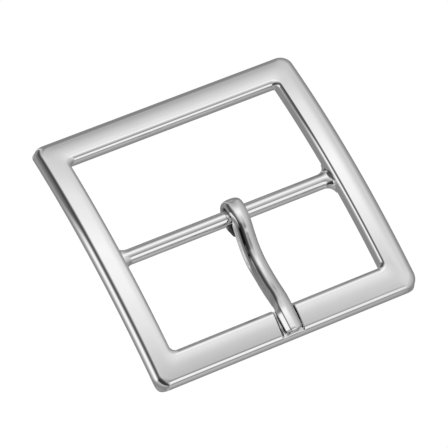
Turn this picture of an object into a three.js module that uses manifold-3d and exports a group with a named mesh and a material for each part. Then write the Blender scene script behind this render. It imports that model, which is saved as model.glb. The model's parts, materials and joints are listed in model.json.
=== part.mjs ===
// Centre-bar belt buckle: a square arched frame, cast in one with its centre bar, and a loose tongue.
// Millimetres. X runs along the centre bar, Y along the belt, +Z out of the polished front.
// The tongue's tip lies in the notch of the -Y rail. The origin is the middle of the plan, on the plane
// that the two end rails stand on.

import * as THREE from 'three';
import { LoftGeometry } from 'three/addons/geometries/LoftGeometry.js';
import { mergeVertices } from 'three/addons/utils/BufferGeometryUtils.js';
import Module from 'manifold-3d';

const wasm = await Module();
wasm.setup();

// ---------------------------------------------------------------- driving dimensions

const FRAME_WIDTH = 50.2;            // across the two side rails
const FRAME_LENGTH = 50.1;           // across the two end rails
const FRAME_Y = -0.305;              // middle of the rails' outer outline
const WINDOW_WIDTH = 40.24;          // clear width between the side rails: the strap's width and a little
const WINDOW_LENGTH = 38.78;         // clear length between the end rails
const WINDOW_Y = -0.29;              // middle of the window
const RAIL_THICKNESS = 3.62;         // front to back at the middle of a side rail
const ARCH_LENGTH = 24.8;            // the distance from the middle that the arches' drops are for
const FRONT_ARCH = 2.33;             // how far the front face drops over that distance
const BACK_ARCH = 2.95;              // the same for the back, before its feet are ground flat
const FOOT_GRIND = 0.41;             // taken off the lowest edge of each end rail

const OUTER_CORNER_RADIUS = 1.8;
const WINDOW_CORNER_RADIUS = 1;
const FRONT_EDGE_ROUND = 1.4;        // soft rounding of the rails' front edges
const BACK_EDGE_ROUND = 1;

const BAR_RADIUS = 1.37;
const BAR_Y = -0.63;                 // the bar sits a little nearer the notched rail
const BAR_Z = 3.05;                  // and low, so that the curl just clears what the buckle lies on
const BAR_FILLET = 2.1;              // sweep of the bar's ends into the side rails
const BAR_FILLET_HEIGHT = 1.4;
const BAR_FILLET_Z = 3.25;           // middle of the sweep's height

const NOTCH_X = 0.75;
const NOTCH_WIDTH = 4.5;             // at the front face
const NOTCH_FLOOR_WIDTH = 4.3;
const NOTCH_DEPTH = 1.2;             // height of its leaning walls
const NOTCH_GAP = 0.15;              // air between the notch's floor and the resting tip

const LOOP_RADIUS = 3.02;            // outside of the curl round the bar
const EYE_RADIUS = 1.65;             // inside of the curl, with running clearance on the bar
const TONGUE_WIDTH = 3.24;
const TIP_WIDTH = 2.9;
const TONGUE_REACH = 25.1;           // bar axis to the end of the tip
const TONGUE_X = 1.79;               // where the loose tongue has slid to along the bar
const TIP_X = 0.69;                  // where its tip lies in the notch

const TONGUE_EDGE_ROUND = 0.55;      // rounding of the tongue's four edges, in its side view
const TONGUE_SIDE_ROUND = 0.8;       // the same, measured across its width
const SHOULDER_START = 17.6;         // forward of the bar axis, where the tongue starts to narrow
const SHOULDER_END = 18.8;           // where it has stepped up and narrowed to its tip

const ARCH_STEPS = 12;               // facets along each side rail
const CORNER_STEPS = 4;              // facets round each corner, in plan
const EDGE_STEPS = 5;                // facets round each long edge of a rail
const BAR_SIDES = 28;

// The tongue seen from its side, as [forward of the bar axis, above it].
const TIP_HEEL = [SHOULDER_END, 0.26];
const TIP_TOE = [24, 0.2];
const TONGUE_TOP = [
  [23.8, 2.05], [21.5, 2.17], [18.9, 2], [15.3, 1.16], [12.6, 0.54], [9.8, 0.3],
  [7.4, 0.6], [4.7, 1.9], [3.2, 2.76], [1.5, 3.08], [0, LOOP_RADIUS],
];
const TONGUE_BELLY = [[4, -2.85], [8.2, -2.68], [11.3, -2.57], [14.5, -2.06], [18.2, -1.02]];

// ---------------------------------------------------------------- derived places

const backCentreZ = BACK_ARCH - FOOT_GRIND;
const frontCentreZ = backCentreZ + RAIL_THICKNESS;

/** Drop of a circular arch at distance y from its crown, for a given drop at ARCH_LENGTH. */
function archDrop(y, dropAtEnd) {
  const radius = (ARCH_LENGTH ** 2 + dropAtEnd ** 2) / (2 * dropAtEnd);
  return radius - Math.sqrt(radius ** 2 - y ** 2);
}

// ---------------------------------------------------------------- solids

/** A closed three.js geometry as a solid that can be joined and cut. */
function toSolid(geometry) {
  const bare = geometry.index ? geometry.toNonIndexed() : geometry.clone();
  bare.deleteAttribute('normal');
  bare.deleteAttribute('uv');
  const merged = mergeVertices(bare, 1e-5);
  return new wasm.Manifold(new wasm.Mesh({
    numProp: 3,
    vertProperties: new Float32Array(merged.attributes.position.array),
    triVerts: new Uint32Array(merged.index.array),
  }));
}

/** The finished solid as a three.js geometry. */
function toGeometry(solid) {
  const { vertProperties, triVerts } = solid.getMesh();
  const geometry = new THREE.BufferGeometry();
  geometry.setAttribute('position', new THREE.BufferAttribute(new Float32Array(vertProperties), 3));
  geometry.setIndex(new THREE.BufferAttribute(new Uint32Array(triVerts), 1));
  geometry.computeVertexNormals();
  return geometry;
}

/** Moves every vertex of a geometry to where `move` puts it. */
function reshape(geometry, move) {
  const { position } = geometry.attributes;
  const vertex = new THREE.Vector3();
  for (let i = 0; i < position.count; i += 1) {
    move(vertex.fromBufferAttribute(position, i));
    position.setXYZ(i, vertex.x, vertex.y, vertex.z);
  }
  return geometry;
}

/**
 * Points round a rounded rectangle about the origin, its two sides along Y cut into `sideSteps`. The corners at
 * +Y have the first of the two radii.
 */
function roundedRectangle(width, length, radii, cornerSteps, sideSteps) {
  const points = [];
  [[1, 1], [-1, 1], [-1, -1], [1, -1]].forEach(([signX, signY], quarter) => {
    const radius = radii[signY > 0 ? 0 : 1];
    const centreX = signX * (width / 2 - radius);
    const centreY = signY * (length / 2 - radius);
    for (let step = 0; step <= cornerSteps; step += 1) {
      const angle = (quarter + step / cornerSteps) * Math.PI / 2;
      points.push(new THREE.Vector2(
        centreX + radius * Math.cos(angle), centreY + radius * Math.sin(angle)));
    }
    const isBeforeSide = quarter % 2 === 1;
    for (let step = 1; isBeforeSide && step < sideSteps; step += 1) {
      points.push(new THREE.Vector2(
        Math.sign(centreX) * width / 2, THREE.MathUtils.lerp(centreY, -centreY, step / sideSteps)));
    }
  });
  return points;
}

function polishedNickel(color) {
  return new THREE.MeshStandardMaterial({ color, roughness: 0.08, metalness: 1 });
}

// ---------------------------------------------------------------- frame

/** One section through a rail, between a point on the window's outline and one on the outer outline. */
function makeRailSection(inner, outer) {
  const width = inner.distanceTo(outer);
  const outline = roundedRectangle(
    width, RAIL_THICKNESS, [FRONT_EDGE_ROUND, BACK_EDGE_ROUND], EDGE_STEPS, 1).reverse();
  return outline.map(({ x: across, y: up }) => {
    const place = inner.clone().lerp(outer, 0.5 + across / width);
    const height = 0.5 + up / RAIL_THICKNESS;
    const back = backCentreZ - archDrop(place.y, BACK_ARCH);
    const front = frontCentreZ - archDrop(place.y, FRONT_ARCH);
    return new THREE.Vector3(place.x, place.y, THREE.MathUtils.lerp(back, front, height));
  });
}

/** The four rails, a ring of sections that rise and fall with the arch. */
function makeRails() {
  const outerRadii = [OUTER_CORNER_RADIUS, OUTER_CORNER_RADIUS];
  const windowRadii = [WINDOW_CORNER_RADIUS, WINDOW_CORNER_RADIUS];
  const outer = roundedRectangle(FRAME_WIDTH, FRAME_LENGTH, outerRadii, CORNER_STEPS, ARCH_STEPS);
  const inner = roundedRectangle(WINDOW_WIDTH, WINDOW_LENGTH, windowRadii, CORNER_STEPS, ARCH_STEPS);
  outer.forEach((point) => point.setY(point.y + FRAME_Y));
  inner.forEach((point) => point.setY(point.y + WINDOW_Y));
  const sections = outer.map((point, i) => makeRailSection(inner[i], point));
  return toSolid(new LoftGeometry([...sections, sections[0]]));
}

/** The centre bar, run just into both side rails. */
function makeBar() {
  const bar = new THREE.CylinderGeometry(BAR_RADIUS, BAR_RADIUS, WINDOW_WIDTH + 1, BAR_SIDES);
  bar.rotateZ(Math.PI / 2);
  bar.translate(0, BAR_Y, BAR_Z);
  return toSolid(bar);
}

/** The web that sweeps one end of the bar into its side rail. */
function makeBarFillet(side) {
  const wallX = WINDOW_WIDTH / 2;
  const inRailX = wallX + 1;
  const startX = wallX - BAR_FILLET;
  const flareY = BAR_RADIUS + BAR_FILLET;
  const web = new THREE.Shape();
  web.moveTo(startX, BAR_RADIUS);
  web.absarc(startX, flareY, BAR_FILLET, -Math.PI / 2, 0, false);
  web.lineTo(inRailX, flareY);
  web.lineTo(inRailX, -flareY);
  web.lineTo(startX + BAR_FILLET, -flareY);
  web.absarc(startX, -flareY, BAR_FILLET, 0, Math.PI / 2, false);
  web.lineTo(startX - BAR_RADIUS, 0);
  web.closePath();
  const solid = new THREE.ExtrudeGeometry(web, {
    depth: BAR_FILLET_HEIGHT,
    bevelEnabled: false,
    curveSegments: 5,
  });
  solid.translate(0, 0, -BAR_FILLET_HEIGHT / 2);
  if (side < 0) {
    solid.rotateZ(Math.PI);
  }
  solid.translate(0, BAR_Y, BAR_FILLET_Z);
  return toSolid(solid);
}

/** The cutter for the notch that the tip lies in, its floor parallel to the tip's underside. */
function makeNotchCutter() {
  const section = new THREE.Shape();
  section.moveTo(-NOTCH_FLOOR_WIDTH / 2, 0);
  section.lineTo(NOTCH_FLOOR_WIDTH / 2, 0);
  section.lineTo(NOTCH_WIDTH / 2, NOTCH_DEPTH);
  section.lineTo(NOTCH_WIDTH / 2, NOTCH_DEPTH + 2);
  section.lineTo(-NOTCH_WIDTH / 2, NOTCH_DEPTH + 2);
  section.lineTo(-NOTCH_WIDTH / 2, NOTCH_DEPTH);
  section.closePath();
  const cutter = new THREE.ExtrudeGeometry(section, { depth: 12, bevelEnabled: false });
  const [heel, toe] = [TIP_HEEL, TIP_TOE].map(([forward, above]) => new THREE.Vector3(
    NOTCH_X, BAR_Y - forward, BAR_Z + above - NOTCH_GAP));
  const along = toe.clone().sub(heel).normalize();
  const across = new THREE.Vector3(1, 0, 0);
  const up = new THREE.Vector3().crossVectors(along, across);
  cutter.applyMatrix4(new THREE.Matrix4().makeBasis(across, up, along).setPosition(heel));
  return toSolid(cutter);
}

/** Everything below the plane that the buckle stands on. */
function makeGroundCutter() {
  const block = new THREE.BoxGeometry(2 * FRAME_WIDTH, 2 * FRAME_LENGTH, 10);
  block.translate(0, 0, -5);
  return toSolid(block);
}

function makeFrame() {
  const solid = makeRails()
    .add(makeBar())
    .add(makeBarFillet(1))
    .add(makeBarFillet(-1))
    .subtract(makeNotchCutter())
    .subtract(makeGroundCutter());
  const mesh = new THREE.Mesh(toGeometry(solid), polishedNickel(0xc9c9cb));
  mesh.name = 'frame';
  return mesh;
}

// ---------------------------------------------------------------- tongue

/** The tongue's side view: the curl with its eye, the dipping shank, and the thin tip. */
function makeTongueOutline() {
  const toPoint = ([forward, above]) => new THREE.Vector2(forward, above);
  const outline = new THREE.Shape();
  outline.moveTo(0, -LOOP_RADIUS);
  outline.splineThru(TONGUE_BELLY.map(toPoint));
  outline.lineTo(...TIP_HEEL);
  outline.lineTo(...TIP_TOE);
  outline.bezierCurveTo(
    TONGUE_REACH, TIP_TOE[1] + 0.1, TONGUE_REACH, TONGUE_TOP[0][1] - 0.3, ...TONGUE_TOP[0]);
  outline.splineThru(TONGUE_TOP.slice(1).map(toPoint));
  outline.absarc(0, 0, LOOP_RADIUS, Math.PI / 2, 3 * Math.PI / 2, false);
  const eye = new THREE.Path();
  eye.absarc(0, 0, EYE_RADIUS, 0, 2 * Math.PI, true);
  outline.holes.push(eye);
  return outline;
}

/** The tongue, about its pivot on the bar axis, with the tip towards -Y. */
function makeTongue() {
  const geometry = new THREE.ExtrudeGeometry(makeTongueOutline(), {
    depth: TONGUE_WIDTH - 2 * TONGUE_SIDE_ROUND,
    bevelSize: TONGUE_EDGE_ROUND,
    bevelThickness: TONGUE_SIDE_ROUND,
    bevelOffset: -TONGUE_EDGE_ROUND,
    bevelSegments: 3,
    curveSegments: 6,
  });
  geometry.translate(0, 0, TONGUE_SIDE_ROUND - TONGUE_WIDTH / 2);
  geometry.applyMatrix4(new THREE.Matrix4().makeBasis(
    new THREE.Vector3(0, -1, 0), new THREE.Vector3(0, 0, 1), new THREE.Vector3(-1, 0, 0)));
  reshape(geometry, (vertex) => {
    const forward = -vertex.y;
    const narrowing = THREE.MathUtils.smoothstep(forward, SHOULDER_START, SHOULDER_END);
    vertex.x *= THREE.MathUtils.lerp(1, TIP_WIDTH / TONGUE_WIDTH, narrowing);
    vertex.x += (TIP_X - TONGUE_X) * forward / TONGUE_REACH;
  });
  const mesh = new THREE.Mesh(toGeometry(toSolid(geometry)), polishedNickel(0xbdbdc0));
  mesh.name = 'tongue';
  mesh.position.set(TONGUE_X, BAR_Y, BAR_Z);
  return mesh;
}

export default new THREE.Group().add(makeFrame(), makeTongue());
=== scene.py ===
"""Looks for the centre-bar belt buckle: polished nickel, standing on a plain pale floor.

Sizes are in millimetres in this file's dimensions, and in metres in the meshes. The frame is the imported
CAD part's: +X along the centre bar, -Y towards the notched rail, +Z out of the polished front.
"""

import json
import math

import bpy
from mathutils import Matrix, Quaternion, Vector


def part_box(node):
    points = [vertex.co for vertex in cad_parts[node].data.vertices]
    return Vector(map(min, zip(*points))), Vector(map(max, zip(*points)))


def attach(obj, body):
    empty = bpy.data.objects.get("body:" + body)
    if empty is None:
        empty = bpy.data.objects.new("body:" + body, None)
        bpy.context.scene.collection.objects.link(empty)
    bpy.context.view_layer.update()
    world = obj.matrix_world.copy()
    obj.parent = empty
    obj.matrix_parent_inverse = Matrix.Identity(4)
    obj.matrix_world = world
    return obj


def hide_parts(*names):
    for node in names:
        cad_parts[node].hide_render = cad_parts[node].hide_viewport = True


MM = 0.001

# ---------------------------------------------------------------- the frame's measures

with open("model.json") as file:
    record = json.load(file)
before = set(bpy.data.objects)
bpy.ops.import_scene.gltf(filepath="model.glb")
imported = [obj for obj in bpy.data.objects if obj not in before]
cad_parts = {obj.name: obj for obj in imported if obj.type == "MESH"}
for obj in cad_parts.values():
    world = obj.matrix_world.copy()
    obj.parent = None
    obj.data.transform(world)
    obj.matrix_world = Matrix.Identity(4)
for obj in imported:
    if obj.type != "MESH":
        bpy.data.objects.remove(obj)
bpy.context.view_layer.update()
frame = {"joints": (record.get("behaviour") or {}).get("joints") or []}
frame_low, frame_high = (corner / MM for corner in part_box("frame"))
hinge = frame["joints"][0]
bar_axis = Vector(hinge["pos_m"]) / MM

FRONT_TOP = frame_high.z             # the face's greatest height, at the middle of the side rails
THICKNESS = 3.62
FRONT_ARCH = 2.325                   # how far the front drops towards the ends
BACK_ARCH = 2.54
ARCH_LENGTH = 24.8                   # the distance from the middle that these drops are for
CROWN = 0.06                         # swell of the face across a rail

# Both outlines of the rails: how far out each side's wall is, and its roundings to the front and the back.
# The outer walls lie a hair inside the CAD's.
OUTER = {
    "side": (frame_high.x - 0.02, 1.4, 2.2),
    "rear": (frame_high.y - 0.005, 1.4, 0.9),
    "front": (-frame_low.y - 0.005, 1.05, 2.55),
}
WINDOW = {"side": (20.12, 0.8, 1.2), "rear": (19.1, 1.3, 2.2), "front": (19.68, 1.3, 0.9)}
# Corner radii in plan at the face, at the widest and at the back, each for the rear and the front, and how
# far below the face each of the three holds.
OUTER_CORNERS = ((1.9, 2), (2.4, 2.9), (0.9, 0.8))
WINDOW_CORNERS = ((1.4, 1.3), (0.5, 0.7), (0.4, 0.6))
CORNER_DEPTHS = (0, 1.4, 3)
WALL_STEPS = 20
CORNER_STEPS = 12
SIDE_STEPS = 44
END_STEPS = 26
FACE_STEPS = 10
BACK_STEPS = 6

NOTCH_FLOOR = bar_axis.z + 0.15      # height of the notch's floor
NOTCH_LEFT = (-1.08, -1.58)          # the left wall's top edge, at the window and at the outer wall
NOTCH_LEFT_FOOT = (-0.88, -1.37)
NOTCH_RIGHT = (2.63, 2.47)
NOTCH_RIGHT_FOOT = (2.59, 2.43)
NOTCH_EDGE_ROUND = 0.2
NOTCH_FLOOR_SWELL = 0.2              # the floor stands up in the middle
NOTCH_LIP = 0.42                     # and rises towards the outer wall,
NOTCH_LIP_RUN = (22.8, 24.6)         # between these distances from the middle

BAR_RADIUS = 1.37
BAR_FILLET = 1.8
BAR_END = WINDOW["side"][0] + 0.05   # where the fillets end, just inside the side walls
BAR_BACK_LOSS = 0.62                 # share of the bar's back that is gone where it meets the rails' backs
BAR_SIDES = 64

# The tongue's wire from its tip to the top of the curl, about the bar axis and seen from the side: the
# outside of the bend, then its inside, each as (forward, up), and the width there.
TONGUE_WIRE = [
    ((23.6, 2.08), (23.3, 0.5), 2.92),
    ((21.8, 2.21), (21.6, 0.44), 3.04),
    ((20.1, 2.19), (20.1, 0.36), 3.12),
    ((19.2, 2.07), (19.25, 0.27), 3.12),
    ((18.3, 1.9), (18.4, -0.3), 3.14),
    ((17.5, 1.74), (17.7, -0.9), 3.2),
    ((16.2, 1.42), (16.4, -1.55), 3.18),
    ((14.0, 0.82), (14.5, -2.07), 3.22),
    ((11.2, 0.38), (11.35, -2.56), 3.22),
    ((9.2, 0.32), (8.8, -2.64), 3.22),
    ((7.4, 0.61), (6.4, -2.2), 3.22),
    ((6.1, 1.14), (4.7, -1.52), 3.22),
    ((4.7, 1.9), (3.1, -0.62), 3.24),
    ((3.2, 2.72), (1.95, 0.3), 3.27),
    ((1.7, 3.06), (1.1, 1.14), 3.28),
    ((0.2, 3.05), (0.15, 1.57), 3.29),
]
# The curl's round part, by its distances from the bar axis and the degrees it starts and ends at, 0 being
# forward and 90 up.
CURL_OUTSIDE = 3.0
CURL_INSIDE = 1.56
CURL_WIDTH = 3.29
CURL_TURN = (115, 302)
# Its end, which turns up under the shank, in the same terms as the wire.
CURL_END = [((2.45, -1.95), (1.75, -0.95), 3.27), ((3.1, -1.62), (2.6, -0.85), 3.1)]
CURL_STEPS = 22
STATIONS_PER_KNOT = 6                # how finely the wire is filled in
TONGUE_REACH = 24.45
TIP_BEND = -0.35                     # sideways, beyond the shoulder,
TIP_BEND_RUN = (16, 21)              # between these distances from the bar
TIP_X = 1.04                         # where the tip lies
LOOP_X = bar_axis.x
RING_SIDES = 64
CURL_SQUARENESS = 2.4
# Forward of the bar, where each section of the wire gives way to the next.
CURL_TO_ROOT = (0.5, 3)
ROOT_TO_SHANK = (8.5, 11.5)
SHANK_TO_TIP = (17.6, 19.4)
# Forward of the bar, where the painted shade and extra roughness in the crease start, thin out and end.
SHADE_AND_DULL_START = (1.5, 4)
SHADE_AND_DULL_THINS = (8, 14)
SHADE_AND_DULL_END = (17.5, 19)
CREASE_SHADE_THINS = (7.5, 9.5)
# The shank's section as (across, up) from -1 to 1, from its right side round over the top: a broad rounded
# top, a crease, and a flat left flank that leans out to a sharp lower edge.
SHANK_SECTION = [
    (1, 0), (0.94, 0.42), (0.66, 0.82), (0.2, 0.98), (-0.25, 0.97), (-0.6, 0.84), (-0.72, 0.7),
    (-0.76, 0.5), (-0.83, 0.15), (-0.88, -0.2), (-0.9, -0.5), (-0.82, -0.78), (-0.58, -0.96),
    (-0.1, -1), (0.62, -0.85), (0.93, -0.45),
]
# The same at the tip: the flank is a broad slope under a long edge.
TIP_SECTION = [
    (1, 0), (0.93, 0.45), (0.66, 0.8), (0.2, 0.96), (-0.3, 0.97), (-0.56, 0.92), (-0.68, 0.8),
    (-0.8, 0.57), (-0.92, 0.32), (-1.02, 0.08), (-1.03, -0.2), (-0.96, -0.55), (-0.68, -0.9),
    (-0.1, -1), (0.62, -0.88), (0.94, -0.45),
]
# The same near the curl, where the flank is hollow and its lower edge turns out.
ROOT_SECTION = [
    (1, 0), (0.94, 0.42), (0.66, 0.82), (0.2, 0.98), (-0.25, 0.97), (-0.6, 0.84), (-0.72, 0.7),
    (-0.72, 0.45), (-0.72, 0.15), (-0.76, -0.15), (-0.93, -0.38), (-0.98, -0.58), (-0.78, -0.88),
    (-0.1, -1), (0.62, -0.85), (0.93, -0.45),
]


# ---------------------------------------------------------------- mesh helpers


def make_object(name, vertices, faces, body):
    """A smooth-shaded piece that stands for the CAD node of the same name."""
    mesh = bpy.data.meshes.new(name)
    mesh.from_pydata([Vector(v) * MM for v in vertices], [], faces)
    mesh.validate()
    mesh.shade_smooth()
    piece = bpy.data.objects.new(name + "_look", mesh)
    bpy.context.scene.collection.objects.link(piece)
    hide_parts(name)
    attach(piece, body)
    return piece


def bridge(rings, closed, first=0):
    """Quads between rings of vertices that all have the same length."""
    count = len(rings[0])
    faces = []
    last = len(rings) if closed else len(rings) - 1
    for i in range(last):
        here, there = i * count, (i + 1) % len(rings) * count
        for j in range(count):
            k = (j + 1) % count
            faces.append([first + here + j, first + here + k, first + there + k, first + there + j])
    return faces


def lerp(a, b, t):
    return a + (b - a) * t


def smoothstep(low, high, value):
    t = min(1, max(0, (value - low) / (high - low)))
    return t * t * (3 - 2 * t)


def arch_drop(y, drop_at_end):
    """Drop of a circular arch at distance y from its crown."""
    radius = (ARCH_LENGTH**2 + drop_at_end**2) / (2 * drop_at_end)
    return radius - math.sqrt(radius**2 - y**2)


# ---------------------------------------------------------------- frame


def wall_depths():
    """How far down each outline of a wall lies: close together where the edges turn."""
    turns = [math.pi * i / (2 * WALL_STEPS) for i in range(2 * WALL_STEPS + 1)]
    return [THICKNESS / 2 * (1 - math.cos(turn)) for turn in turns]


def wall_inset(depth, front_round, back_round):
    """How far a wall lies in from its widest, at this depth below the face."""
    over = front_round - depth
    if over > 0:
        return front_round - math.sqrt(front_round**2 - over**2)
    under = depth - (THICKNESS - back_round)
    if under > 0:
        return back_round - math.sqrt(max(0, back_round**2 - under**2))
    return 0


def cut_notch(x, y, z, face):
    """The height of a rail's point once the notch is let into the rail."""
    if y > 0:
        return z
    left, left_foot, right_foot, right = notch_edges(y)
    ease = NOTCH_EDGE_ROUND
    opened = smoothstep(left - ease, left_foot + ease, x)
    opened *= 1 - smoothstep(right_foot - ease, right + ease, x)
    off_middle = (2 * x - left_foot - right_foot) / (right_foot - left_foot)
    lip = NOTCH_LIP * smoothstep(*NOTCH_LIP_RUN, -y)
    floor = NOTCH_FLOOR + lip - NOTCH_FLOOR_SWELL * min(1, off_middle**2) + 0.01 * (z - face)
    return lerp(z, min(z, floor), opened)


def notch_edges(y):
    """Where the notch's walls start and end, at this distance along the belt."""
    inner, outer = WINDOW["front"][0], OUTER["front"][0]
    along = (-y - inner) / (outer - inner)
    spans = NOTCH_LEFT, NOTCH_LEFT_FOOT, NOTCH_RIGHT_FOOT, NOTCH_RIGHT
    return [lerp(*span, along) for span in spans]


def notch_stations(y, limit):
    """Places along the notched rail, close together at the notch's walls."""
    left, left_foot, right_foot, right = notch_edges(y)
    margin = NOTCH_EDGE_ROUND * 1.6
    spans = [
        (-limit, left - margin, 16),
        (left - margin, left_foot + margin, 14),
        (left_foot + margin, right_foot - margin, 8),
        (right_foot - margin, right + margin, 12),
        (right + margin, limit, 16),
    ]
    places = [lerp(low, high, step / steps) for low, high, steps in spans for step in range(steps)]
    return places[1:]


def plan_outline(half_x, rear_y, front_y, rear_radius, front_radius):
    """Points round a rounded rectangle, the same number for every outline."""
    signs = [(1, 1), (-1, 1), (-1, -1), (1, -1)]
    points = []
    for quarter, (sx, sy) in enumerate(signs):
        radius, half_y = (rear_radius, rear_y) if sy > 0 else (front_radius, front_y)
        straight_x, straight_y = half_x - radius, half_y - radius
        for step in range(CORNER_STEPS + 1):
            angle = (quarter + step / CORNER_STEPS) * math.pi / 2
            x = sx * straight_x + radius * math.cos(angle)
            points.append((x, sy * straight_y + radius * math.sin(angle)))
        if quarter == 0:
            steps = [lerp(straight_x, -straight_x, i / END_STEPS) for i in range(1, END_STEPS)]
            points += [(x, half_y) for x in steps]
        if quarter == 1:
            far = front_y - front_radius
            steps = [lerp(straight_y, -far, i / SIDE_STEPS) for i in range(1, SIDE_STEPS)]
            points += [(-half_x, y) for y in steps]
        if quarter == 2:
            points += [(x, -half_y) for x in notch_stations(-half_y, straight_x)]
        if quarter == 3:
            far = rear_y - rear_radius
            steps = [lerp(-straight_y, far, i / SIDE_STEPS) for i in range(1, SIDE_STEPS)]
            points += [(half_x, y) for y in steps]
    return points


def wall_outlines(sides, corners, outward):
    """The plan outlines down one wall: outward is 1 for the outer wall and -1 for the window's."""
    walls = sides["side"], sides["rear"], sides["front"]
    at_face, at_edge, at_back = CORNER_DEPTHS
    outlines = []
    for depth in wall_depths():
        reach = [out - outward * wall_inset(depth, *rounds) for out, *rounds in walls]
        to_edge = smoothstep(at_face, at_edge, depth)
        to_back = smoothstep(at_edge, at_back, depth)
        corner = [lerp(lerp(face, edge, to_edge), back, to_back) for face, edge, back in zip(*corners)]
        outlines.append((plan_outline(*reach, *corner), depth / THICKNESS))
    return outlines


def place(x, y, down, swell=0.0):
    """A point of a rail at this fraction of the way from its face to its back."""
    face = FRONT_TOP - CROWN - arch_drop(y, FRONT_ARCH)
    back = FRONT_TOP - THICKNESS - arch_drop(y, BACK_ARCH)
    return x, y, cut_notch(x, y, lerp(face + swell, back, down), face)


def make_rail_mesh():
    """The four rails: a closed loop of outlines, each at its own height."""
    outer = wall_outlines(OUTER, OUTER_CORNERS, 1)
    inner = wall_outlines(WINDOW, WINDOW_CORNERS, -1)
    loops = [[place(x, y, down) for x, y in outline] for outline, down in outer]
    (outer_back, _), (inner_back, _) = outer[-1], inner[-1]
    for step in range(1, BACK_STEPS):
        t = step / BACK_STEPS
        pairs = zip(outer_back, inner_back)
        loops.append([place(lerp(a[0], b[0], t), lerp(a[1], b[1], t), 1) for a, b in pairs])
    loops += [[place(x, y, down) for x, y in outline] for outline, down in reversed(inner)]
    (outer_face, _), (inner_face, _) = outer[0], inner[0]
    for step in range(1, FACE_STEPS):
        t = step / FACE_STEPS
        swell = CROWN * 4 * t * (1 - t)
        pairs = zip(inner_face, outer_face)
        loops.append([place(lerp(a[0], b[0], t), lerp(a[1], b[1], t), 0, swell) for a, b in pairs])
    return [v for loop in loops for v in loop], bridge(loops, closed=True)


def bar_ring(x):
    """One section of the centre bar: it widens into the side rails, and its back rises to theirs."""
    into = abs(x) - (BAR_END - BAR_FILLET)
    into = min(max(0, into), BAR_FILLET * 0.995)
    flare = BAR_FILLET - math.sqrt(BAR_FILLET**2 - into**2)
    rise = smoothstep(BAR_END - 1.2 * BAR_FILLET, BAR_END + 0.4, abs(x))
    ring = []
    for side in range(BAR_SIDES):
        angle = 2 * math.pi * side / BAR_SIDES
        across, up = math.cos(angle), math.sin(angle)
        height = BAR_RADIUS * up
        if up < 0:
            height *= 1 - BAR_BACK_LOSS * rise
        ring.append((x, bar_axis.y + across * (BAR_RADIUS + flare), bar_axis.z + height))
    return ring


def make_bar_mesh(first):
    """The centre bar, run a little way into both side rails."""
    ends = [BAR_END - BAR_FILLET * (1 - math.sin(math.radians(a))) for a in range(0, 90, 6)]
    ends += [BAR_END + 0.5]
    between = [lerp(-ends[0], ends[0], i / 20) for i in range(1, 20)]
    places = [-x for x in reversed(ends)] + between + ends
    rings = [bar_ring(x) for x in places]
    faces = bridge(rings, closed=False, first=first)
    count = len(rings) * BAR_SIDES
    faces.append([first + i for i in reversed(range(BAR_SIDES))])
    faces.append([first + i for i in range(count - BAR_SIDES, count)])
    return [v for ring in rings for v in ring], faces


def make_frame():
    """The rails and the bar, as one piece."""
    vertices, faces = make_rail_mesh()
    bar_vertices, bar_faces = make_bar_mesh(len(vertices))
    return make_object("frame", vertices + bar_vertices, faces + bar_faces, "frame")


# ---------------------------------------------------------------- tongue


def curl_stations():
    """The wire round the bar, from the shank's root to the curl's end."""
    start, end = CURL_TURN
    stations = []
    for step in range(CURL_STEPS):
        angle = math.radians(lerp(start, end, step / (CURL_STEPS - 1)))
        direction = Vector((math.cos(angle), math.sin(angle)))
        stations.append((direction * CURL_OUTSIDE, direction * CURL_INSIDE, CURL_WIDTH))
    return stations


def spline(points, t):
    """Catmull-Rom through equally spaced points, t from 0 to 1."""
    place_on = t * (len(points) - 1)
    i = min(int(place_on), len(points) - 2)
    f = place_on - i
    p0, p1, p2, p3 = (points[min(max(i + k, 0), len(points) - 1)] for k in (-1, 0, 1, 2))
    return 0.5 * (2 * p1 + (p2 - p0) * f + (2 * p0 - 5 * p1 + 4 * p2 - p3) * f**2
                  + (3 * p1 - p0 - 3 * p2 + p3) * f**3)


def wire_stations():
    """The whole wire, tip first, evenly filled in."""
    knots = [(Vector(outside), Vector(inside), width) for outside, inside, width in TONGUE_WIRE]
    knots += curl_stations()
    knots += [(Vector(outside), Vector(inside), width) for outside, inside, width in CURL_END]
    outsides, insides, widths = zip(*knots)
    count = STATIONS_PER_KNOT * len(knots)
    filled = []
    for step in range(count + 1):
        t = step / count
        filled.append((spline(outsides, t), spline(insides, t), spline(widths, t)))
    return filled


def rounded_end(outside, inside, width, direction, reach, steps=8):
    """Stations that close a wire's end with a rounded nose, outermost first."""
    middle = (outside + inside) / 2
    half = (outside - inside) / 2
    nose = []
    for step in range(steps, 0, -1):
        angle = math.pi / 2 * step / (steps + 0.4)
        shrink = math.cos(angle)
        shift = direction * reach * math.sin(angle)
        nose.append((middle + half * shrink + shift, middle - half * shrink + shift, width * shrink**0.8))
    return nose


def wire_ring(outside, inside, width, section):
    """One section across the wire."""
    middle = (outside + inside) / 2
    half = (outside - inside) / 2
    ring = []
    for across, up in section:
        point = middle + half * up
        lean = (TIP_X - LOOP_X) * point.x / TONGUE_REACH + TIP_BEND * smoothstep(*TIP_BEND_RUN, point.x)
        x = LOOP_X + lean + across * width / 2
        ring.append((x, bar_axis.y - point.x, bar_axis.z + point.y))
    return ring


def band_section():
    """The curl's section, a superellipse."""
    section = []
    for side in range(RING_SIDES):
        angle = 2 * math.pi * side / RING_SIDES
        across, up = math.cos(angle), math.sin(angle)
        section.append((
            math.copysign(abs(across) ** (2 / CURL_SQUARENESS), across),
            math.copysign(abs(up) ** (2 / CURL_SQUARENESS), up),
        ))
    return section


def drawn_point(section_knots, side):
    """A point of the section through the given knots, in the same steps round as the curl's."""
    knots = [Vector(knot) for knot in section_knots + section_knots[:1]]
    return spline(knots, side / RING_SIDES)


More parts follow.
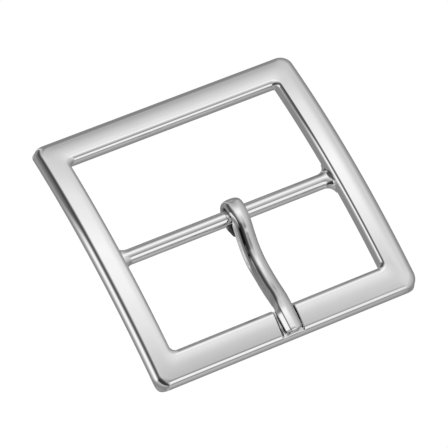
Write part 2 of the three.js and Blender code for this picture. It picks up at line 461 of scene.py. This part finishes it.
def section_at(forward, on_curl):
    """The wire's section this far forward of the bar: its flat left flank fades out at the curl."""
    flat = 0 if on_curl else smoothstep(*CURL_TO_ROOT, forward)
    hollow = 1 - smoothstep(*ROOT_TO_SHANK, forward)
    tip = smoothstep(*SHANK_TO_TIP, forward)
    section = []
    for i, band in enumerate(band_section()):
        shank = lerp(drawn_point(SHANK_SECTION, i), drawn_point(ROOT_SECTION, i), hollow)
        section.append(lerp(Vector(band), lerp(shank, drawn_point(TIP_SECTION, i), tip), flat))
    return section


def painted_shade_and_dull_at(forward, across, up, on_curl):
    """How much painted shade (a near-black base colour) and extra roughness goes here: it stays in the
    crease along the left flank.
    """
    if across > -0.5:
        return 0
    if on_curl:
        return max(0.75 * smoothstep(0.8, 2, forward), 0.6 * smoothstep(0.1, 0.7, -up))
    along = smoothstep(*SHADE_AND_DULL_START, forward) * (1 - smoothstep(*SHADE_AND_DULL_END, forward))
    along *= lerp(1, 0.4, smoothstep(*SHADE_AND_DULL_THINS, forward))
    below_top = 1 - smoothstep(0.82, 0.97, up)
    crease = smoothstep(0.2, 0.5, up) * lerp(1, 0.45, smoothstep(*CREASE_SHADE_THINS, forward))
    flank = 0.35 * smoothstep(-0.3, 0.1, up)
    return along * below_top * max(crease, flank)


def make_tongue():
    """The tongue, a skin drawn over the wire's sections from the tip to the curl's end."""
    stations = wire_stations()
    tip = rounded_end(*stations[0], Vector((1, 0)), TONGUE_REACH - TONGUE_WIRE[0][0][0])
    outside, inside, width = stations[-1]
    across = (outside - inside).normalized()
    end = rounded_end(outside, inside, width, Vector((-across.y, across.x)), 0.35)
    shank_stations = len(tip) + STATIONS_PER_KNOT * len(TONGUE_WIRE)
    rings, painted_shade_and_dull = [], []
    for i, station in enumerate(tip + stations + end[::-1]):
        forward = station[0].x
        section = section_at(forward, i > shank_stations)
        rings.append(wire_ring(*station, section))
        painted_shade_and_dull += [painted_shade_and_dull_at(forward, *corner, i > shank_stations) for corner in section]
    vertices = [v for ring in rings for v in ring]
    faces = [[v for v in reversed(face)] for face in bridge(rings, closed=False)]
    count = len(vertices)
    faces.append([i for i in range(RING_SIDES)])
    faces.append([i for i in reversed(range(count - RING_SIDES, count))])
    piece = make_object("tongue", vertices, faces, "tongue")
    # Painted shade: where this mask is set, the base colour goes near black and the roughness rises.
    attribute = piece.data.attributes.new("painted_shade_and_dull", "FLOAT", "POINT")
    attribute.data.foreach_set("value", painted_shade_and_dull)
    return piece


# ---------------------------------------------------------------- materials


def link(tree, source, target):
    tree.links.new(source, target)


def maths(tree, operation, *values):
    """A maths node's output, its inputs plain numbers or other nodes' outputs."""
    node = tree.nodes.new("ShaderNodeMath")
    node.operation = operation
    for socket, value in zip(node.inputs, values):
        if isinstance(value, (int, float)):
            socket.default_value = value
        else:
            link(tree, value, socket)
    return node.outputs[0]


def noise(tree, vector, scale, detail):
    node = tree.nodes.new("ShaderNodeTexNoise")
    node.inputs["Scale"].default_value = scale
    node.inputs["Detail"].default_value = detail
    link(tree, vector, node.inputs["Vector"])
    return node.outputs["Fac"]


def remap(tree, value, low, high, new_low, new_high, smooth=False):
    node = tree.nodes.new("ShaderNodeMapRange")
    node.interpolation_type = "SMOOTHSTEP" if smooth else "LINEAR"
    ends = {"From Min": low, "From Max": high, "To Min": new_low, "To Max": new_high}
    for name, number in ends.items():
        node.inputs[name].default_value = number
    link(tree, value, node.inputs["Value"])
    return node.outputs["Result"]


HAZE_SCALE = 260
HAIRLINE_SCALE = (9000, 500, 9000)   # long along the belt
# The near-black base colour that paints shade into the tongue's crease.
PAINTED_SHADE_GREY = 0.012


def make_nickel(name, tint, haze, scratch_depth):
    """Polished nickel plate: a faint uneven haze, hairline scratches, and painted shade, a near-black base
    colour with extra roughness, where the crease mask is set.
    """
    material = bpy.data.materials.new(name)
    material.use_nodes = True
    tree = material.node_tree
    shader = tree.nodes["Principled BSDF"]
    shader.inputs["Metallic"].default_value = 1
    coordinates = tree.nodes.new("ShaderNodeTexCoord").outputs["Object"]
    patches = noise(tree, coordinates, HAZE_SCALE, 3)
    stretch = tree.nodes.new("ShaderNodeMapping")
    stretch.inputs["Scale"].default_value = HAIRLINE_SCALE
    link(tree, coordinates, stretch.inputs["Vector"])
    hairlines = noise(tree, stretch.outputs["Vector"], 1, 2)
    roughness = remap(tree, patches, 0.3, 0.7, *haze)
    scuffs = remap(tree, hairlines, 0.62, 0.8, 0, 0.05)
    painted_shade_and_dull = tree.nodes.new("ShaderNodeAttribute")
    painted_shade_and_dull.attribute_name = "painted_shade_and_dull"
    mottle = remap(tree, patches, 0.38, 0.52, 0.72, 1.1)
    shade_and_dull = maths(tree, "MINIMUM", maths(tree, "MULTIPLY", painted_shade_and_dull.outputs["Fac"], mottle), 1)
    polished = maths(tree, "ADD", roughness, scuffs)
    dulled = maths(tree, "ADD", polished, maths(tree, "MULTIPLY", shade_and_dull, 0.3))
    link(tree, dulled, shader.inputs["Roughness"])
    colour = tree.nodes.new("ShaderNodeMix")
    colour.data_type = "RGBA"
    colour.inputs["A"].default_value = (*tint, 1)
    colour.inputs["B"].default_value = (*(0.94 * channel for channel in tint), 1)
    link(tree, patches, colour.inputs["Factor"])
    # Painted shade: the crease mask mixes the base colour towards near black.
    painted_shade_colour = tree.nodes.new("ShaderNodeMix")
    painted_shade_colour.data_type = "RGBA"
    painted_shade_colour.inputs["B"].default_value = (PAINTED_SHADE_GREY, PAINTED_SHADE_GREY, PAINTED_SHADE_GREY, 1)
    link(tree, colour.outputs["Result"], painted_shade_colour.inputs["A"])
    link(tree, shade_and_dull, painted_shade_colour.inputs["Factor"])
    link(tree, painted_shade_colour.outputs["Result"], shader.inputs["Base Color"])
    bump = tree.nodes.new("ShaderNodeBump")
    bump.inputs["Strength"].default_value = 0.25
    bump.inputs["Distance"].default_value = scratch_depth
    link(tree, hairlines, bump.inputs["Height"])
    link(tree, bump.outputs["Normal"], shader.inputs["Normal"])
    return material


def make_glow(name, brightness):
    """A plain bright surface, for the floor and the backdrop."""
    material = bpy.data.materials.new(name)
    material.use_nodes = True
    tree = material.node_tree
    tree.nodes.clear()
    emission = tree.nodes.new("ShaderNodeEmission")
    emission.inputs["Strength"].default_value = brightness
    output = tree.nodes.new("ShaderNodeOutputMaterial")
    link(tree, emission.outputs[0], output.inputs["Surface"])
    return material


# ---------------------------------------------------------------- studio

# The soft studio that the polished metal mirrors, as display greys from 0 to 255.
# Over and in front of the buckle, by the angle in the plane of the belt: 0 is straight up, + is behind.
OVERHEAD = [
    (-180, 128), (-165, 135), (-150, 148), (-130, 160), (-115, 176), (-100, 184), (-90, 168), (-80, 134),
    (-75, 134), (-70, 236), (-40, 250), (-35, 142), (-27, 140), (-18, 162), (-8, 186), (2, 203), (6, 217),
    (11, 233), (16, 243), (24, 250), (31, 238), (36, 231), (40, 217), (45, 204), (50, 185), (57, 152),
    (66, 136), (90, 130), (120, 136), (180, 130),
]
# To the left, by the angle from straight up: a bright panel low down, with a dark gap over it. The panel
# doesn't reach behind the buckle.
LEFT_SIDE = [
    (-30, 249), (-12, 240), (0, 208), (14, 120), (22, 88), (32, 82), (42, 118), (53, 200), (62, 246),
    (80, 252), (92, 228), (104, 190), (118, 160), (135, 140), (180, 130),
]
LEFT_BEHIND = [
    (-30, 249), (-12, 232), (0, 190), (14, 100), (24, 74), (36, 70), (55, 96), (80, 120), (105, 142),
    (125, 150), (150, 132), (180, 130),
]
# To the left and in front: a dark screen.
LEFT_FRONT = [(-30, 200), (0, 170), (12, 70), (40, 44), (55, 80), (68, 190), (110, 160), (180, 130)]
# To the right, by the same angle on that side.
RIGHT_SIDE = [
    (10, 250), (18, 236), (22, 225), (26, 216), (30, 207), (36, 198), (46, 189), (58, 176), (75, 155),
    (95, 138), (130, 134), (180, 130),
]
STUDIO_STRENGTH = 1.09
# Where each part of the studio gives way to the next, as one component of the direction looked in.
OVERHEAD_TO_LEFT = (0.16, -0.06)     # x
OVERHEAD_TO_RIGHT = (0.3, 0.46)      # x
LEFT_TO_BEHIND = (0.4, 0.5)          # y
LEFT_TO_FRONT = (-0.08, -0.3)        # y


def display_to_linear(grey):
    """The light that a display shows as this grey."""
    level = grey / 255
    if level <= 0.04045:
        return level / 12.92
    return ((level + 0.055) / 1.055) ** 2.4


def brightness_ramp(tree, value, stops):
    """Brightness by a value, between the (value, display grey) stops."""
    low, high = stops[0][0], stops[-1][0]
    ramp = tree.nodes.new("ShaderNodeValToRGB")
    elements = ramp.color_ramp.elements
    while len(elements) < len(stops):
        elements.new(0.5)
    for i, (at, grey) in enumerate(stops):
        elements[i].position = (at - low) / (high - low)
        level = display_to_linear(grey)
        elements[i].color = (level, level, level, 1)
    link(tree, remap(tree, value, low, high, 0, 1), ramp.inputs["Fac"])
    return ramp.outputs["Color"]


def mix_brightness(tree, first, second, factor):
    node = tree.nodes.new("ShaderNodeMix")
    node.data_type = "RGBA"
    link(tree, first, node.inputs["A"])
    link(tree, second, node.inputs["B"])
    link(tree, factor, node.inputs["Factor"])
    return node.outputs["Result"]


def make_world():
    """The studio all round, fixed to the world and seen only in the metal."""
    world = bpy.data.worlds.new("studio")
    bpy.context.scene.world = world
    world.use_nodes = True
    tree = world.node_tree
    direction = tree.nodes.new("ShaderNodeTexCoord").outputs["Generated"]
    split = tree.nodes.new("ShaderNodeSeparateXYZ")
    link(tree, direction, split.inputs[0])
    x, y, z = split.outputs
    angle = maths(tree, "MULTIPLY", maths(tree, "ARCTAN2", y, z), 180 / math.pi)
    colour = brightness_ramp(tree, angle, OVERHEAD)
    leftward = maths(tree, "MULTIPLY", maths(tree, "ARCTAN2", x, z), -180 / math.pi)
    beside = brightness_ramp(tree, leftward, LEFT_SIDE)
    behind = brightness_ramp(tree, leftward, LEFT_BEHIND)
    left = mix_brightness(tree, beside, behind, remap(tree, y, *LEFT_TO_BEHIND, 0, 1, smooth=True))
    before = brightness_ramp(tree, leftward, LEFT_FRONT)
    left = mix_brightness(tree, left, before, remap(tree, y, *LEFT_TO_FRONT, 0, 1, smooth=True))
    colour = mix_brightness(tree, colour, left, remap(tree, x, *OVERHEAD_TO_LEFT, 0, 1, smooth=True))
    rightward = maths(tree, "MULTIPLY", maths(tree, "ARCTAN2", x, z), 180 / math.pi)
    right = brightness_ramp(tree, rightward, RIGHT_SIDE)
    colour = mix_brightness(tree, colour, right, remap(tree, x, *OVERHEAD_TO_RIGHT, 0, 1, smooth=True))
    background = tree.nodes["Background"]
    background.inputs["Strength"].default_value = STUDIO_STRENGTH
    link(tree, colour, background.inputs["Color"])


# The floor and the backdrop, in metres.
FLOOR_RADIUS = 1.2
FLOOR_GAP = 0.0002                   # the floor lies just under the buckle's feet
BACKDROP_RADIUS = 1.6
PALE = 1.02                          # their brightness


def show_to_camera_only(surface):
    """Keeps a surface out of the metal's reflections."""
    for kind in ("diffuse", "glossy", "transmission", "volume_scatter", "shadow"):
        setattr(surface, "visible_" + kind, False)


def make_floor():
    bpy.ops.mesh.primitive_circle_add(vertices=96, radius=FLOOR_RADIUS, fill_type="NGON")
    floor = bpy.context.object
    floor.name = "floor"
    floor.location.z = -FLOOR_GAP
    floor.data.materials.append(make_glow("pale_floor", PALE))
    return floor


def make_backdrop():
    bpy.ops.mesh.primitive_uv_sphere_add(segments=64, ring_count=32, radius=BACKDROP_RADIUS)
    backdrop = bpy.context.object
    backdrop.name = "backdrop"
    backdrop.data.materials.append(make_glow("pale_backdrop", PALE))
    return backdrop


# The viewpoint: a long lens from high on the left, the camera turned a little about its axis.
VIEW_AZIMUTH = -39.893
VIEW_ELEVATION = 60.518
VIEW_ROLL = 14.593
VIEW_DISTANCE = 559.97
VIEW_AIM = (-0.613, -1.455, 3.0)
LENS_TO_SENSOR = 7.3301              # focal length over sensor width
FRAMING_SHIFT = 0.5 / 448            # half a picture element, right and down


def make_camera():
    azimuth, elevation = math.radians(VIEW_AZIMUTH), math.radians(VIEW_ELEVATION)
    back = Vector((
        math.sin(azimuth) * math.cos(elevation),
        -math.cos(azimuth) * math.cos(elevation),
        math.sin(elevation),
    ))
    data = bpy.data.cameras.new("camera")
    data.sensor_width = 36
    data.lens = LENS_TO_SENSOR * data.sensor_width
    data.shift_x = -FRAMING_SHIFT
    data.shift_y = FRAMING_SHIFT
    data.clip_start = 0.01
    camera = bpy.data.objects.new("camera", data)
    bpy.context.scene.collection.objects.link(camera)
    camera.location = (Vector(VIEW_AIM) + back * VIEW_DISTANCE) * MM
    camera.rotation_mode = "QUATERNION"
    roll = Quaternion((0, 0, 1), math.radians(VIEW_ROLL))
    camera.rotation_quaternion = (-back).to_track_quat("-Z", "Y") @ roll
    bpy.context.scene.camera = camera


frame_nickel = make_nickel("frame_nickel", (0.93, 0.93, 0.93), (0.03, 0.07), 0.000004)
tongue_nickel = make_nickel("tongue_nickel", (0.9, 0.9, 0.9), (0.05, 0.11), 0.000006)
make_frame().data.materials.append(frame_nickel)
make_tongue().data.materials.append(tongue_nickel)
stage_pieces = [make_floor(), make_backdrop()]
for stage_piece in stage_pieces:
    show_to_camera_only(stage_piece)
make_world()
make_camera()
bpy.context.scene.view_settings.view_transform = "Standard"
